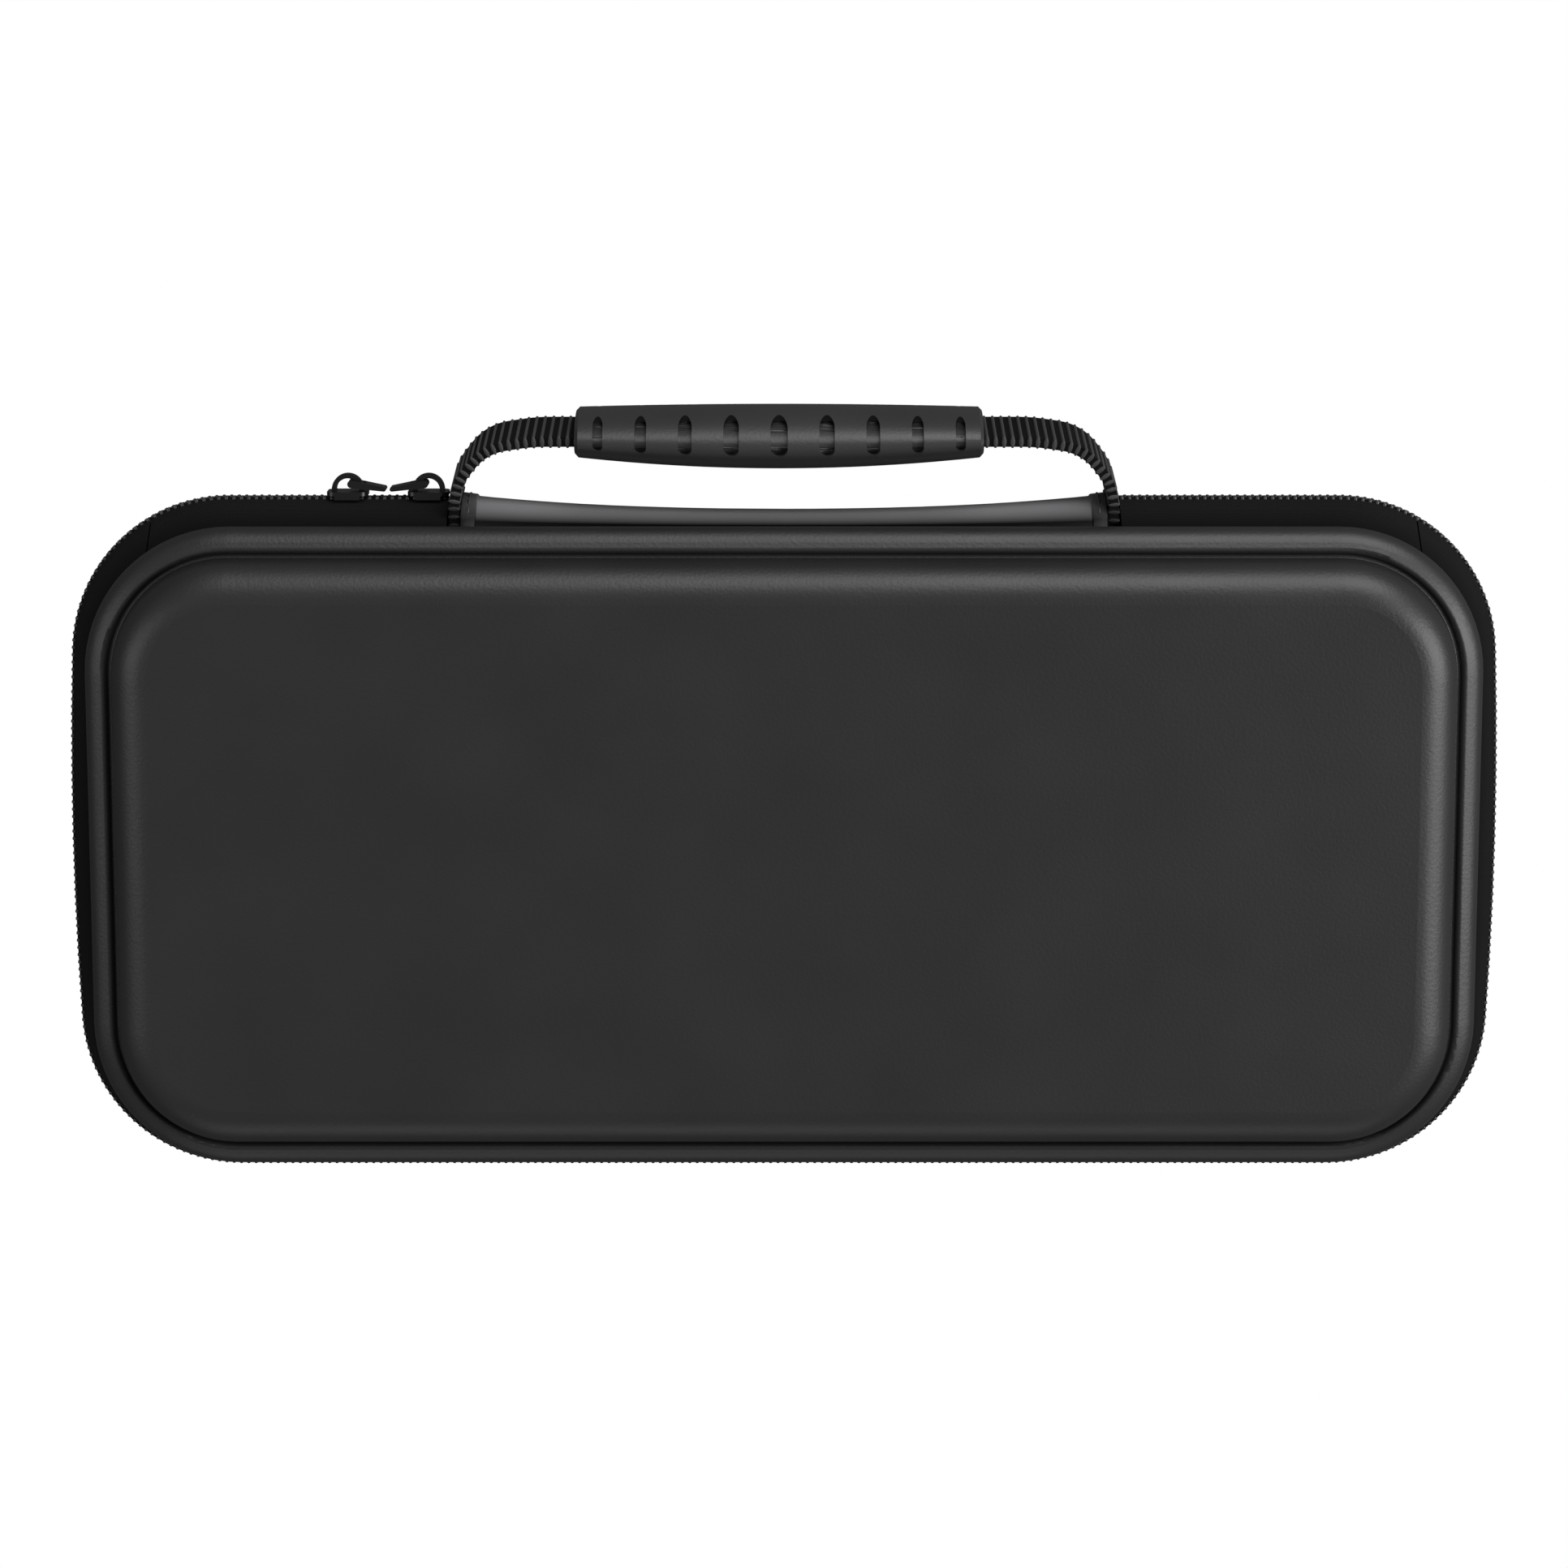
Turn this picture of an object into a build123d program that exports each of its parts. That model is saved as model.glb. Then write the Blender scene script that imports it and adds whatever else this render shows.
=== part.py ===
"""Zipped hard case for a portable game console, lying on its back.

+X runs along the case, +Y points to the carry handle and +Z up through the lid.
The origin is the middle of the flat back panel. All sizes are in millimetres.
"""

import os
from math import cos, radians, sin, tan

from build123d import *

# Moulded shells: one outline, swept with a stepped section, for the lid and the base
shell_length = 285.8
shell_width = 133.1
shell_corner = 30.0
lid_depth = 27.5
lid_edge_radius = 8.0
base_depth = 27.5
base_edge_radius = 8.0
shell_wall = 4.0
rim_height = 12.0
bead_height = 6.5
bead_width = 4.6
bead_slope = 25.0
bead_radius = 4.6
bead_lip_radius = 1.0
groove_depth = 1.5
groove_width = 0.9
groove_lean = 0.5
panel_draft = 2.5
inner_step = 2.5

# Zip: the coil stands proud of the shells, least along the bottom, and its sides bow out
zip_top_reach = 4.7
zip_side_reach = 5.2
zip_bottom_reach = 3.5
zip_side_bow = 3.0
zip_corner = 33.0
coil_width = 1.8
coil_height = 1.35
coil_gap = 0.55
tape_thickness = 1.0
tape_setback = 0.5
tape_tuck = 0.7
zip_end_reach = 130.0
joint_gap = 0.3

# Inside: seam binding, console tray and net pocket
binding_thickness = 1.3
binding_width = 5.9
binding_overlap = 1.5
tray_height = 12.0
tray_wall = 4.2
tray_floor = 2.4
tray_clearance = 0.4
finger_notch = 44.0
pocket_length = 220.0
pocket_width = 76.0
pocket_depth = 6.0
pocket_corner = 14.0
pocket_shift = -10.0
net_thickness = 0.8
hem_width = 6.0
hem_thickness = 1.4

# Hinge strip: bulges most at its two hems, where it covers the ends of the zip
strip_half_length = 62.9
strip_thickness = 1.6
strip_middle_bulge = 2.6
strip_flat_half = 36.0
strip_rise_half = 52.0
strip_rise_bulge = 3.6
strip_end_bulge = 4.6
strip_hem_length = 3.2
strip_hem_step = 0.4
strip_hem_bulge = 5.4

# Carry handle: webbing sewn in at both hems, with a barrel-shaped slotted sleeve, leaning to the lid
handle_lean = 8.0
webbing_width = 18.0
webbing_thickness = 2.5
webbing_root_reach = 1.0
webbing_collar = 5.2
webbing_knee = (66.5, 9.8)
webbing_shoulder = (61.0, 16.9)
webbing_top = (51.0, 18.4)
webbing_radii = (4.0, 9.0, 11.0, 35.0)
grip_x = -1.0
grip_length = 83.2
grip_width = 24.0
grip_end_width = 22.0
grip_height = 12.2
grip_end_height = 9.1
grip_belly = 0.9
grip_chamfer = 0.7
grip_clearance = 0.2
grip_slots_each_side = 4
grip_slot_pitch = 9.9
grip_slot_crowding = 0.0173
grip_slot_width = 3.5
grip_slot_narrowing = 0.37
grip_slot_top_share = 0.92
grip_slot_bottom_share = 0.24
grip_core = 8.0

# Zip sliders and their pulls, both parked at the left end of the hinge strip
slider_length = 8.4
slider_width = 7.0
slider_plate = 0.8
slider_clearance = 0.3
slider_corner = 1.6
slider_lip = 0.6
slider_neck = 3.0
left_slider_x = -89.7
right_slider_x = -73.1
crown_length = 6.6
crown_height = 3.6
crown_thickness = 1.0
crown_width = 1.8
pull_bar = 0.9
pull_bar_x = 0.8
pull_bar_height = 1.5
pull_arm = 0.9
pull_eye = 3.0
pull_root_radius = 0.8
pull_tip_radius = 0.45
pull_reach = 7.2
pull_slope = 9.0

# Levels and planes that the pieces share
parting = base_depth
parting_plane = Plane.XY.offset(parting)
crest = rim_height + bead_height
groove_floor = crest - groove_depth
bead_shoulder = crest - bead_width * tan(radians(bead_slope))
panel_foot = bead_width + groove_lean + groove_width
panel_slope = tan(radians(panel_draft))
inner_foot = panel_foot + shell_wall
hinge_y = shell_width / 2
coil_top_y = hinge_y + zip_top_reach
coil_outer = coil_gap + coil_height
strip_edge = rim_height - joint_gap
strip_end = strip_half_length + strip_hem_length
zip_start = strip_end + webbing_thickness + joint_gap
handle_rise = (0, cos(radians(handle_lean)), sin(radians(handle_lean)))
handle_face = (0, -sin(radians(handle_lean)), cos(radians(handle_lean)))
handle_plane = Plane(origin=(0, hinge_y, parting), x_dir=(1, 0, 0), z_dir=handle_face)


def save(piece, name):
    """Label a finished piece and write its STEP file."""
    piece.label = name
    os.makedirs("parts", exist_ok=True)
    export_step(piece, f"parts/{name}.step")


def shell_outline(inset):
    """The shells' rounded outline, moved inwards, drawn in the sketch in progress."""
    RectangleRounded(shell_length - 2 * inset, shell_width - 2 * inset, shell_corner - inset)


def eight_edged_outline(height, half_length, top, bottom, bow, corner):
    """A rounded outline whose two short sides may bow, for lofting between levels."""
    with BuildSketch(Plane.XY.offset(height)) as outline:
        with BuildLine():
            side = half_length - bow
            middle = (top + bottom) / 2
            Line((side, top), (-side, top))
            if bow:
                ThreePointArc((-side, top), (-half_length, middle), (-side, bottom))
            else:
                Line((-side, top), (-side, bottom))
            Line((-side, bottom), (side, bottom))
            if bow:
                ThreePointArc((side, bottom), (half_length, middle), (side, top))
            else:
                Line((side, bottom), (side, top))
        make_face()
        fillet(outline.vertices(), corner)
    return outline.sketch


def seam_outline(height, inset):
    """The line where the zip tape meets the shell's rim."""
    top = shell_width / 2 - inset
    return eight_edged_outline(height, shell_length / 2 - inset, top, -top, 0, shell_corner - inset)


def zip_outline(height, inset):
    """The line of the zip coil, moved inwards."""
    half_length = shell_length / 2 + zip_side_reach - inset
    top = coil_top_y - inset
    bottom = -(shell_width / 2 + zip_bottom_reach - inset)
    return eight_edged_outline(height, half_length, top, bottom, zip_side_bow, zip_corner - inset)


def hinge_side_box(from_x, to_x, half_height):
    """A box that takes in the zip between two stations on the handle's side."""
    centre = ((from_x + to_x) / 2, shell_width / 2, parting)
    with Locations(centre):
        Box(to_x - from_x, shell_width, 2 * half_height, mode=Mode.INTERSECT)


def inset_at(height, foot):
    """How far a drafted wall has come in from the rim at a height over the parting plane."""
    return foot + (height - groove_floor) * panel_slope


def half_shell(depth, edge_radius):
    """One moulded half over the parting plane: a swept wall section, closed by the flat panel."""
    inner_face = depth - shell_wall
    panel_shoulder = inset_at(depth, panel_foot)
    panel_flat = panel_shoulder + edge_radius + shell_wall / 2
    with BuildPart() as half:
        with BuildSketch(parting_plane) as rim:
            shell_outline(0)
        rim_path = rim.sketch.wires()[0]
        inward = Vector(0, 0, 1).cross(rim_path % 0)
        with BuildSketch(Plane(origin=rim_path @ 0, x_dir=inward, z_dir=rim_path % 0)) as section:
            with BuildLine():
                outside = FilletPolyline(
                    (shell_wall, rim_height),
                    (0, rim_height),
                    (0, bead_shoulder),
                    (bead_width, crest),
                    (bead_width + groove_lean, groove_floor),
                    (panel_foot, groove_floor),
                    (panel_shoulder, depth),
                    (panel_flat, depth),
                    radius=[tape_tuck, bead_radius, bead_lip_radius, groove_width / 2, groove_width / 2,
                            edge_radius],
                )
                inside = FilletPolyline(
                    (panel_flat, inner_face),
                    (inset_at(inner_face, inner_foot), inner_face),
                    (inner_foot, groove_floor),
                    (shell_wall, rim_height + inner_step),
                    (shell_wall, rim_height),
                    radius=[edge_radius - shell_wall, inner_step / 2, inner_step / 2],
                )
                Line(outside @ 1, inside @ 0)
            make_face()
        sweep(sections=section.sketch, path=rim_path)
        with BuildSketch(Plane.XY.offset(parting + inner_face)) as panel:
            shell_outline(panel_flat)
        extrude(panel.sketch, amount=shell_wall)
    return half.part


# Lid shell and base shell: two depths of the same moulding, rim to rim
save(half_shell(lid_depth, lid_edge_radius), "lid_shell")
with BuildPart() as base_shell:
    mirror(half_shell(base_depth, base_edge_radius), about=parting_plane)
save(base_shell.part, "base_shell")

# Zip tape of one half, all the way round: a thin band from the coil back to the rim
with BuildPart() as tape_ring:
    loft([
        zip_outline(parting + coil_outer, tape_setback),
        seam_outline(parting + rim_height, tape_tuck),
    ])
    loft([
        zip_outline(parting + coil_outer, tape_setback + tape_thickness),
        seam_outline(parting + rim_height, tape_tuck + tape_thickness),
    ], mode=Mode.SUBTRACT)

# Zip coil of one half, all the way round
with BuildPart() as coil_ring:
    add(zip_outline(parting + coil_gap, 0))
    extrude(amount=coil_height)
    add(zip_outline(parting + coil_gap, coil_width))
    extrude(amount=coil_height, mode=Mode.SUBTRACT)

# The lid's and the base's runs of the zip, round the two sides and the bottom
open_run = zip_end_reach + joint_gap
for ring, name in ((tape_ring, "zip_tape"), (coil_ring, "zip_coil")):
    with BuildPart() as lid_run:
        add(ring.part)
        with Locations((0, shell_width / 2, parting)):
            Box(2 * open_run, shell_width, 2 * lid_depth, mode=Mode.SUBTRACT)
    save(lid_run.part, f"lid_{name}")
    with BuildPart() as base_run:
        mirror(lid_run.part, about=parting_plane)
    save(base_run.part, f"base_{name}")

# The two closed runs of the zip beside the handle
for side, from_x, to_x in (("left", -zip_end_reach, -zip_start), ("right", zip_start, zip_end_reach)):
    for ring, name in ((tape_ring, "tape"), (coil_ring, "coil")):
        with BuildPart() as zip_end:
            add(ring.part)
            hinge_side_box(from_x, to_x, strip_edge)
            mirror(about=parting_plane)
        save(zip_end.part, f"{side}_zip_end_{name}")

# Seam binding inside each rim
with BuildPart() as lid_binding:
    with BuildSketch(Plane.XY.offset(parting + rim_height + binding_overlap - binding_width)):
        shell_outline(shell_wall)
        with BuildSketch(mode=Mode.PRIVATE) as binding_inside:
            shell_outline(shell_wall + binding_thickness)
        add(binding_inside.sketch, mode=Mode.SUBTRACT)
    extrude(amount=binding_width)
save(lid_binding.part, "lid_binding")

with BuildPart() as base_binding:
    mirror(lid_binding.part, about=parting_plane)
save(base_binding.part, "base_binding")

# Console tray: padded, open upwards, with a finger notch in each long wall
tray_inset = inset_at(base_depth - shell_wall, inner_foot) + tray_clearance
with BuildPart() as console_tray:
    with BuildSketch(Plane.XY.offset(shell_wall)):
        shell_outline(tray_inset)
    extrude(amount=tray_height)
    fillet(console_tray.edges().group_by(Axis.Z)[0], base_edge_radius - shell_wall + tray_clearance)
    with BuildSketch(Plane.XY.offset(shell_wall + tray_floor)):
        shell_outline(tray_inset + tray_wall)
    extrude(amount=tray_height, mode=Mode.SUBTRACT)
    with BuildSketch(Plane.XZ):
        with Locations((0, shell_wall + tray_height)):
            SlotOverall(finger_notch, tray_height)
    extrude(amount=shell_width, both=True, mode=Mode.SUBTRACT)
save(console_tray.part, "console_tray")

# Net pocket on the lid's inner face, open towards the handle, and its hem
lid_floor = parting + lid_depth - shell_wall
pocket_mouth = pocket_shift + pocket_width / 2
with BuildPart() as net_pocket:
    with BuildSketch(Plane.XY.offset(lid_floor - pocket_depth)):
        with Locations((0, pocket_shift)):
            RectangleRounded(pocket_length, pocket_width, pocket_corner)
    extrude(amount=pocket_depth)
    with BuildSketch(Plane.XY.offset(lid_floor - pocket_depth + net_thickness)):
        with Locations((0, pocket_shift)):
            RectangleRounded(
                pocket_length - 2 * net_thickness,
                pocket_width - 2 * net_thickness,
                pocket_corner - net_thickness,
            )
    extrude(amount=pocket_depth, mode=Mode.SUBTRACT)
    split(bisect_by=Plane.XZ.offset(pocket_corner - pocket_mouth), keep=Keep.TOP)
save(net_pocket.part, "net_pocket")

hem_start = pocket_mouth - pocket_corner
with BuildPart() as net_pocket_hem:
    with BuildSketch(Plane.XY.offset(lid_floor - pocket_depth - (hem_thickness - net_thickness) / 2)):
        with Locations((0, hem_start + hem_width / 2)):
            RectangleRounded(pocket_length, hem_width, hem_width / 3)
    extrude(amount=hem_thickness)
save(net_pocket_hem.part, "net_pocket_hem")


def strip_section(x, bulge):
    """Crescent section of the hinge strip at one station along the case."""
    with BuildSketch(Plane.YZ.offset(x)) as section:
        with BuildLine():
            outer_foot = hinge_y - tape_tuck
            inner_foot_y = outer_foot - strip_thickness
            crown = hinge_y + bulge
            low = parting - strip_edge
            high = parting + strip_edge
            ThreePointArc((outer_foot, low), (crown, parting), (outer_foot, high))
            Line((outer_foot, high), (inner_foot_y, high))
            ThreePointArc((inner_foot_y, high), (crown - strip_thickness, parting), (inner_foot_y, low))
            Line((inner_foot_y, low), (outer_foot, low))
        make_face()
    return section.sketch


# Hinge strip: a lofted saddle, low in the middle and bulging towards both ends
strip_stations = (
    (-strip_half_length, strip_end_bulge),
    (-strip_rise_half, strip_rise_bulge),
    (-strip_flat_half, strip_middle_bulge),
    (strip_flat_half, strip_middle_bulge),
    (strip_rise_half, strip_rise_bulge),
    (strip_half_length, strip_end_bulge),
)
with BuildPart() as hinge_strip:
    loft([strip_section(x, bulge) for x, bulge in strip_stations])
save(hinge_strip.part, "hinge_strip")

# Hems folded over the strip's two ends
for side, sign in (("left", -1), ("right", 1)):
    with BuildPart() as strip_hem:
        loft([
            strip_section(sign * strip_half_length, strip_end_bulge + strip_hem_step),
            strip_section(sign * strip_end, strip_hem_bulge),
        ])
    save(strip_hem.part, f"{side}_strip_hem")

# Handle webbing: one band from hem to hem, through the grip
root_x = strip_end + webbing_thickness / 2
left_half = [
    (-root_x, webbing_root_reach),
    (-root_x, webbing_collar),
    (-webbing_knee[0], webbing_knee[1]),
    (-webbing_shoulder[0], webbing_shoulder[1]),
    (-webbing_top[0], webbing_top[1]),
]
right_half = [(-x, reach) for x, reach in reversed(left_half)]
with BuildPart() as handle_webbing:
    with BuildSketch(handle_plane):
        with BuildLine():
            FilletPolyline(*left_half, *right_half, radius=[*webbing_radii, *reversed(webbing_radii)])
        trace(line_width=webbing_thickness)
    extrude(amount=webbing_width / 2, both=True)
save(handle_webbing.part, "handle_webbing")


def grip_share(x):
    """How far a station is from the grip's middle, from 0 there to 1 at its ends, squared."""
    return (2 * x / grip_length) ** 2


def grip_half_height(x):
    """Half the height of the barrel-shaped grip at a station along it."""
    return (grip_height - (grip_height - grip_end_height) * grip_share(x)) / 2


def grip_middle(x):
    """Reach of the grip's middle line, which sags towards the fingers, at a station along it."""
    return webbing_top[1] - grip_belly * (1 - grip_share(x))


def grip_section(x, width):
    """Oval section of the grip at one station along it."""
    middle = handle_plane.from_local_coords((grip_x + x, grip_middle(x), 0))
    with BuildSketch(Plane(middle, x_dir=handle_rise, z_dir=(1, 0, 0))) as section:
        Ellipse(grip_half_height(x), width / 2)
    return section.sketch


# Handle grip: lofted barrel with a passage for the webbing and rows of slots on both faces
passage_start = handle_plane.from_local_coords((grip_x, webbing_top[1], 0))
with BuildPart() as handle_grip:
    loft([
        grip_section(-grip_length / 2, grip_end_width),
        grip_section(0, grip_width),
        grip_section(grip_length / 2, grip_end_width),
    ])
    grip_ends = handle_grip.faces().filter_by(Axis.X)
    chamfer(grip_ends.edges(), grip_chamfer)
    with BuildSketch(Plane(passage_start, x_dir=handle_rise, z_dir=(1, 0, 0))):
        Rectangle(webbing_thickness + 2 * grip_clearance, webbing_width + 2 * grip_clearance)
    extrude(amount=grip_length, both=True, mode=Mode.SUBTRACT)
    for face_side in (1, -1):
        with BuildSketch(handle_plane.offset(face_side * grip_core / 2)):
            for step in range(-grip_slots_each_side, grip_slots_each_side + 1):
                slot_x = step * grip_slot_pitch * (1 - grip_slot_crowding * abs(step))
                slot_width = grip_slot_width - grip_slot_narrowing * abs(step)
                slot_top = grip_slot_top_share * grip_half_height(slot_x)
                slot_bottom = grip_slot_bottom_share * grip_half_height(slot_x)
                slot_middle = grip_middle(slot_x) + (slot_top - slot_bottom) / 2
                with Locations((grip_x + slot_x, slot_middle)):
                    SlotOverall(slot_top + slot_bottom, slot_width, rotation=90)
        extrude(amount=face_side * grip_width, mode=Mode.SUBTRACT)
save(handle_grip.part, "handle_grip")

# Slider levels, measured from the zip coil and the tape beside it
plate_low = coil_top_y + slider_clearance
plate_high = plate_low + slider_plate
tape_slope = (zip_top_reach - tape_setback + tape_tuck) / (rim_height - coil_outer)
tape_drop = tape_setback + tape_thickness + tape_slope * (slider_width / 2 - coil_outer)
under_high = coil_top_y - max(coil_width, tape_drop) - slider_clearance
under_low = under_high - slider_plate
lip_low = coil_top_y - tape_setback


def slider(x, name):
    """A zip slider: two plates round the coil, joined by a neck, with a crown on top."""
    with BuildPart() as body:
        for low in (plate_low, under_low):
            with BuildSketch(Plane.XZ.offset(-low)):
                with Locations((x, parting)):
                    RectangleRounded(slider_length, slider_width, slider_corner)
            extrude(amount=-slider_plate)
        with Locations((x, (under_low + plate_high) / 2, parting)):
            Box(slider_neck, plate_high - under_low, coil_gap * 2 - 2 * slider_clearance)
        for side in (-1, 1):
            lip_middle = parting + side * (slider_width - slider_lip) / 2
            with Locations((x, (lip_low + plate_high) / 2, lip_middle)):
                Box(slider_length - 2 * slider_corner, plate_high - lip_low, slider_lip)
        with BuildSketch(Plane((x, plate_high, parting))):
            with BuildLine():
                half = crown_length / 2
                inner_half = half - crown_thickness
                inner_height = crown_height - crown_thickness
                ThreePointArc((-half, 0), (0, crown_height), (half, 0))
                Line((half, 0), (inner_half, 0))
                ThreePointArc((inner_half, 0), (0, inner_height), (-inner_half, 0))
                Line((-inner_half, 0), (-half, 0))
            make_face()
        extrude(amount=crown_width / 2, both=True)
    save(body.part, name)


def pull(x, heading, name):
    """A pull tab: a tapered tongue with an eye for the crown and a bar across the eye."""
    pivot = (x + heading * pull_bar_x, plate_high + pull_bar_height, parting)
    along = (heading * cos(radians(pull_slope)), -sin(radians(pull_slope)), 0)
    side_plane = Plane(origin=pivot, x_dir=along, z_dir=(0, 0, 1))
    eye_half_width = crown_width / 2 + slider_clearance
    with BuildPart() as tab:
        with BuildSketch(side_plane):
            Circle(pull_root_radius)
            with Locations((pull_reach - pull_tip_radius, 0)):
                Circle(pull_tip_radius)
            make_hull()
        extrude(amount=eye_half_width + pull_arm, both=True)
        with BuildSketch(side_plane):
            Rectangle(2 * pull_eye, 4 * pull_root_radius)
        extrude(amount=eye_half_width, both=True, mode=Mode.SUBTRACT)
        with BuildSketch(side_plane):
            Rectangle(pull_bar, pull_bar)
        extrude(amount=eye_half_width + pull_arm / 2, both=True)
    save(tab.part, name)


slider(left_slider_x, "left_slider")
pull(left_slider_x, 1, "left_pull")
slider(right_slider_x, "right_slider")
pull(right_slider_x, -1, "right_pull")
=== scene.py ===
# %% [markdown]
# # A zipped hard case for a portable game console
# The CAD model gives every piece its place and size. This lesson dresses it: moulded skin on the two
# shells, woven tape and teeth on the zip, a soft hinge strip, a ribbed webbing handle and the padded inside.

from math import asin, cos, pi, radians, sin

import bpy
from mathutils import Matrix, Vector


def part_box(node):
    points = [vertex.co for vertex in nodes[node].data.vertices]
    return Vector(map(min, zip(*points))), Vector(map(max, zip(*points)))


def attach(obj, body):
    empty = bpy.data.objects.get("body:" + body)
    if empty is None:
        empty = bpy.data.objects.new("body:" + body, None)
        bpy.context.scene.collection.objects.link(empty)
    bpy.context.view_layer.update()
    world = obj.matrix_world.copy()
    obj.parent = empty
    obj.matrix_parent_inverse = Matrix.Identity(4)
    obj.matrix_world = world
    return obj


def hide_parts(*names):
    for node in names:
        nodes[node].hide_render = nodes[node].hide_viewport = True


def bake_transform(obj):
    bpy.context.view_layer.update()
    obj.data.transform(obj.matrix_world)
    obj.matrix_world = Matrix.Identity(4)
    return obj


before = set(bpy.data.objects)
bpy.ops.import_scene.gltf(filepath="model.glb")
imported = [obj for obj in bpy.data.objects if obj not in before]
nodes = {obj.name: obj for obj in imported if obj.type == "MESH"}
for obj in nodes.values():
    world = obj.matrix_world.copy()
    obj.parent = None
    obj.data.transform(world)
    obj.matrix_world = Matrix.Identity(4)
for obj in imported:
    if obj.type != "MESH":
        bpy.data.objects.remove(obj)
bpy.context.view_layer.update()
MM = 0.001
print("frame loaded:", len(nodes), "nodes")

# %% [markdown]
# ## Shared grain
# Every surface of the case is nearly black, so what tells them apart is grain, weave and gloss.
# A node group that mixes two sizes of noise serves all of them, each material with its own scale.

# %% Fine grain group
def new_group(name, inputs, outputs):
    """A shader node group with float or colour sockets, and its input and output nodes."""
    group = bpy.data.node_groups.new(name, "ShaderNodeTree")
    for label, kind, value in inputs:
        socket = group.interface.new_socket(label, in_out="INPUT", socket_type=kind)
        socket.default_value = value
    for label, kind in outputs:
        group.interface.new_socket(label, in_out="OUTPUT", socket_type=kind)
    start = group.nodes.new("NodeGroupInput")
    end = group.nodes.new("NodeGroupOutput")
    return group, start, end


grain_group, start, end = new_group(
    "fine_grain",
    [("Scale", "NodeSocketFloat", 900.0), ("Dark", "NodeSocketColor", (0.02, 0.02, 0.02, 1)),
     ("Light", "NodeSocketColor", (0.03, 0.03, 0.03, 1))],
    [("Color", "NodeSocketColor"), ("Height", "NodeSocketFloat"), ("Roughness", "NodeSocketFloat")],
)
place = grain_group.nodes.new("ShaderNodeTexCoord")
fine = grain_group.nodes.new("ShaderNodeTexNoise")
fine.inputs["Detail"].default_value = 3.0
broad = grain_group.nodes.new("ShaderNodeTexNoise")
broad.inputs["Scale"].default_value = 35.0
broad.inputs["Detail"].default_value = 2.0
mix = grain_group.nodes.new("ShaderNodeMix")
mix.data_type = "RGBA"
rough = grain_group.nodes.new("ShaderNodeMapRange")
rough.inputs["To Min"].default_value = -0.05
rough.inputs["To Max"].default_value = 0.05
links = grain_group.links
links.new(place.outputs["Object"], fine.inputs["Vector"])
links.new(place.outputs["Object"], broad.inputs["Vector"])
links.new(start.outputs["Scale"], fine.inputs["Scale"])
links.new(broad.outputs["Fac"], mix.inputs["Factor"])
links.new(start.outputs["Dark"], mix.inputs["A"])
links.new(start.outputs["Light"], mix.inputs["B"])
links.new(mix.outputs["Result"], end.inputs["Color"])
links.new(fine.outputs["Fac"], end.inputs["Height"])
links.new(broad.outputs["Fac"], rough.inputs["Value"])
links.new(rough.outputs["Result"], end.inputs["Roughness"])
print("made group", grain_group.name)

# %% [markdown]
# ## Weave, net and painted shade at the seam
# Tape, lining and bindings are woven, in rows one above the other. The net is a lattice of crossing threads
# with holes between them. A third group paints shade: sewn-in cloth and the webbing's root darken towards the
# seam.

# %% Weave group
weave_group, start, end = new_group(
    "woven",
    [("Rows", "NodeSocketFloat", 9000.0), ("Dark", "NodeSocketColor", (0.01, 0.01, 0.01, 1)),
     ("Light", "NodeSocketColor", (0.02, 0.02, 0.02, 1))],
    [("Color", "NodeSocketColor"), ("Height", "NodeSocketFloat"), ("Roughness", "NodeSocketFloat")],
)
place = weave_group.nodes.new("ShaderNodeTexCoord")
split = weave_group.nodes.new("ShaderNodeSeparateXYZ")
along = weave_group.nodes.new("ShaderNodeMath")
along.operation = "MULTIPLY"
wave = weave_group.nodes.new("ShaderNodeMath")
wave.operation = "SINE"
row = weave_group.nodes.new("ShaderNodeMapRange")
row.inputs["From Min"].default_value = -1.0
threads = weave_group.nodes.new("ShaderNodeTexNoise")
threads.inputs["Scale"].default_value = 1500.0
threads.inputs["Detail"].default_value = 2.0
height = weave_group.nodes.new("ShaderNodeMath")
height.operation = "MULTIPLY"
mix = weave_group.nodes.new("ShaderNodeMix")
mix.data_type = "RGBA"
rough = weave_group.nodes.new("ShaderNodeMapRange")
rough.inputs["To Min"].default_value = -0.06
rough.inputs["To Max"].default_value = 0.06
links = weave_group.links
links.new(place.outputs["Object"], split.inputs["Vector"])
links.new(place.outputs["Object"], threads.inputs["Vector"])
links.new(split.outputs["Z"], along.inputs[0])
links.new(start.outputs["Rows"], along.inputs[1])
links.new(along.outputs["Value"], wave.inputs[0])
links.new(wave.outputs["Value"], row.inputs["Value"])
links.new(row.outputs["Result"], height.inputs[0])
links.new(threads.outputs["Fac"], height.inputs[1])
links.new(height.outputs["Value"], mix.inputs["Factor"])
links.new(start.outputs["Dark"], mix.inputs["A"])
links.new(start.outputs["Light"], mix.inputs["B"])
links.new(threads.outputs["Fac"], rough.inputs["Value"])
links.new(mix.outputs["Result"], end.inputs["Color"])
links.new(height.outputs["Value"], end.inputs["Height"])
links.new(rough.outputs["Result"], end.inputs["Roughness"])
print("made group", weave_group.name)

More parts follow.
